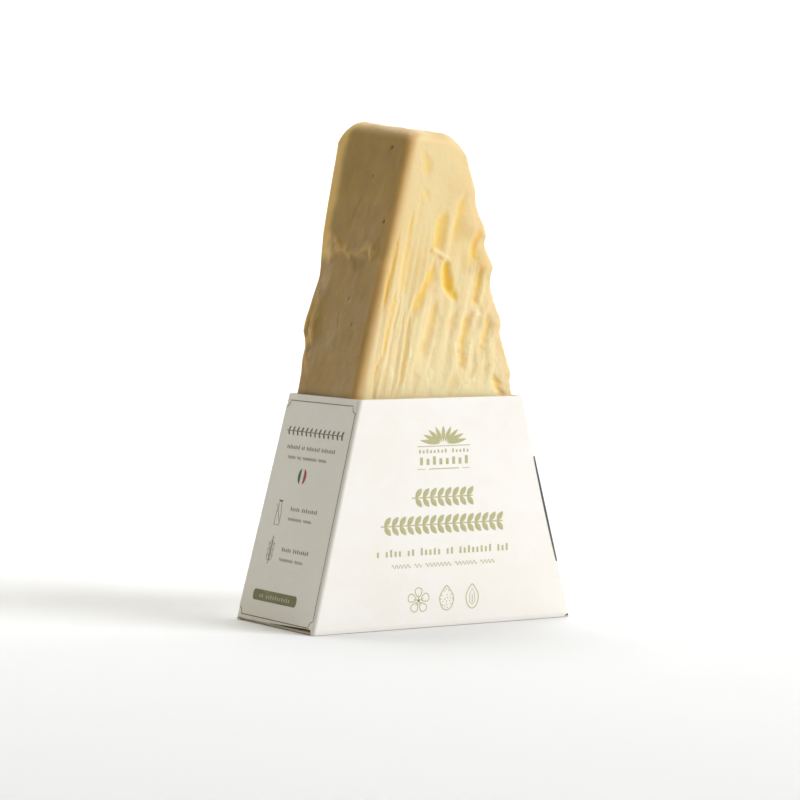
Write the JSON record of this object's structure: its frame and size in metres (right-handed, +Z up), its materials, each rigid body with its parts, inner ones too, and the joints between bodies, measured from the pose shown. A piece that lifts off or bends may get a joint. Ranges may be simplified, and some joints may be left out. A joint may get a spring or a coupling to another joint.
{
  "type": "aged hard cheese wedge in a card carton",
  "caption": "Tall wedge of aged hard cheese with a broken, ridged face, standing narrow end up in a tapered open card carton.",
  "frame": {"origin": "middle of the carton's footprint, on the surface it stands on", "axes": "+Z up, towards the wedge's narrow end; -Y is the carton's wide front; -X is the narrow side panel seen in the picture"},
  "size_m": [0.074, 0.0368, 0.1214],
  "materials": {
    "cheese": "firm waxy cheese, pale gold, slightly translucent at the edges, broken along the grain on the wide faces",
    "card": "uncoated warm white folding card with flat sage green and dark olive print"
  },
  "bodies": {
    "root": {"cheese_wedge": "cheese", "card_carton": "card"}
  },
  "joints": []
}
